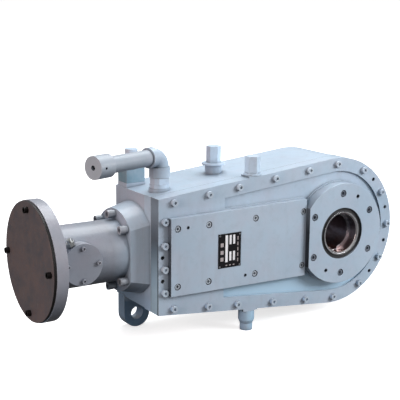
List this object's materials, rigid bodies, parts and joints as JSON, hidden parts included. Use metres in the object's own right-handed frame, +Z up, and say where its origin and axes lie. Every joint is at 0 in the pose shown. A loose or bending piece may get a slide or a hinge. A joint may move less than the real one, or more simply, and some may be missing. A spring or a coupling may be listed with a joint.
{
  "type": "industrial gearbox",
  "caption": "Right-angle industrial gearbox: tapered round-ended case, hollow output bore, bevel and spur gear train, flanged input neck with blanking plate, breather elbow and torque lug",
  "frame": {"origin": "the point where the output shaft's axis meets the input shaft's axis, inside the output bore", "axes": "+Y along the output axis from the front (service plate) side to the back; -X toward the motor flange along the input axis; +Z up, toward the breather and plugs"},
  "size_m": [1.2285, 0.3649, 0.5861],
  "materials": {
    "paint": "semi-gloss light blue-grey machine enamel",
    "zinc": "zinc-plated, lightly worn",
    "steel": "ground and oiled",
    "gear_steel": "hobbed and hardened, oiled",
    "dark_steel": "hot-rolled, phosphated",
    "nitrile": "matt",
    "gasket": "matt sheet",
    "brass_cage": "machined",
    "label": "black enamel on aluminium"
  },
  "bodies": {
    "housing": {"casing": "paint", "front_cover": "paint", "cover_gasket": "gasket", "cover_screws": "paint", "cover_dowels": "steel", "service_plate": "paint", "service_plate_screws": "paint", "nameplate": "label", "nameplate_rivets": "zinc", "output_bearing_cap": "paint", "output_rear_cap": "paint", "output_cap_screws": "paint", "output_seals": "nitrile", "output_outer_rings": "steel", "idler_outer_rings": "steel", "cross_outer_rings": "steel", "input_outer_rings": "steel", "input_seal": "nitrile", "input_housing": "paint", "neck_screws": "paint", "neck_sleeves": "paint", "blanking_plate": "dark_steel", "blanking_gasket": "gasket", "blanking_screws": "dark_steel", "side_cover": "paint", "side_cover_screws": "paint", "grease_fitting": "zinc", "breather_nipple": "paint", "breather_elbow": "paint", "breather_pipe": "paint", "breather_cap": "paint", "filler_block": "paint", "filler_knob": "paint", "front_plug": "paint", "rear_plug": "paint", "drain_plug": "paint"},
    "output": {"hollow_output_shaft": "steel", "output_gear": "gear_steel", "output_gear_key": "steel", "output_inner_rings": "steel"},
    "output_roller_cages": {"output_rollers": "brass_cage"},
    "idler": {"idler_shaft": "steel", "idler_gear": "gear_steel", "idler_key": "steel", "idler_inner_rings": "steel"},
    "idler_roller_cages": {"idler_rollers": "brass_cage"},
    "cross": {"cross_pinion_shaft": "steel", "bevel_wheel": "gear_steel", "bevel_wheel_key": "steel", "cross_inner_rings": "steel"},
    "cross_roller_cages": {"cross_rollers": "brass_cage"},
    "input": {"input_pinion_shaft": "steel", "input_spacer": "steel", "input_lock_nut": "dark_steel", "input_inner_rings": "steel", "coupling_hub": "gear_steel", "coupling_key": "steel"},
    "input_roller_cages": {"input_rollers": "brass_cage"}
  },
  "joints": [
    {"name": "output_spin", "type": "hinge", "parent": "housing", "child": "output", "pos_m": [0, 0, 0], "axis": [0, 1, 0], "continuous": true},
    {"name": "output_cage_spin", "type": "hinge", "parent": "housing", "child": "output_roller_cages", "pos_m": [0, 0, 0], "axis": [0, 1, 0], "continuous": true},
    {"name": "idler_spin", "type": "hinge", "parent": "housing", "child": "idler", "pos_m": [-0.33, 0, 0], "axis": [0, 1, 0], "continuous": true},
    {"name": "idler_cage_spin", "type": "hinge", "parent": "housing", "child": "idler_roller_cages", "pos_m": [-0.33, 0, 0], "axis": [0, 1, 0], "continuous": true},
    {"name": "cross_spin", "type": "hinge", "parent": "housing", "child": "cross", "pos_m": [-0.52, 0, 0], "axis": [0, 1, 0], "continuous": true},
    {"name": "cross_cage_spin", "type": "hinge", "parent": "housing", "child": "cross_roller_cages", "pos_m": [-0.52, 0, 0], "axis": [0, 1, 0], "continuous": true},
    {"name": "input_spin", "type": "hinge", "parent": "housing", "child": "input", "pos_m": [-0.7, 0, 0], "axis": [1, 0, 0], "continuous": true},
    {"name": "input_cage_spin", "type": "hinge", "parent": "housing", "child": "input_roller_cages", "pos_m": [-0.7, 0, 0], "axis": [1, 0, 0], "continuous": true}
  ],
  "couplings": [
    {"joint": "output_cage_spin", "follows": "output_spin", "ratio": 0.456},
    {"joint": "idler_spin", "follows": "output_spin", "ratio": -1.5385},
    {"joint": "idler_cage_spin", "follows": "output_spin", "ratio": -0.64453},
    {"joint": "cross_spin", "follows": "output_spin", "ratio": 3.3333},
    {"joint": "cross_cage_spin", "follows": "output_spin", "ratio": 1.3943},
    {"joint": "input_spin", "follows": "output_spin", "ratio": 6.6667},
    {"joint": "input_cage_spin", "follows": "output_spin", "ratio": 2.7833}
  ]
}
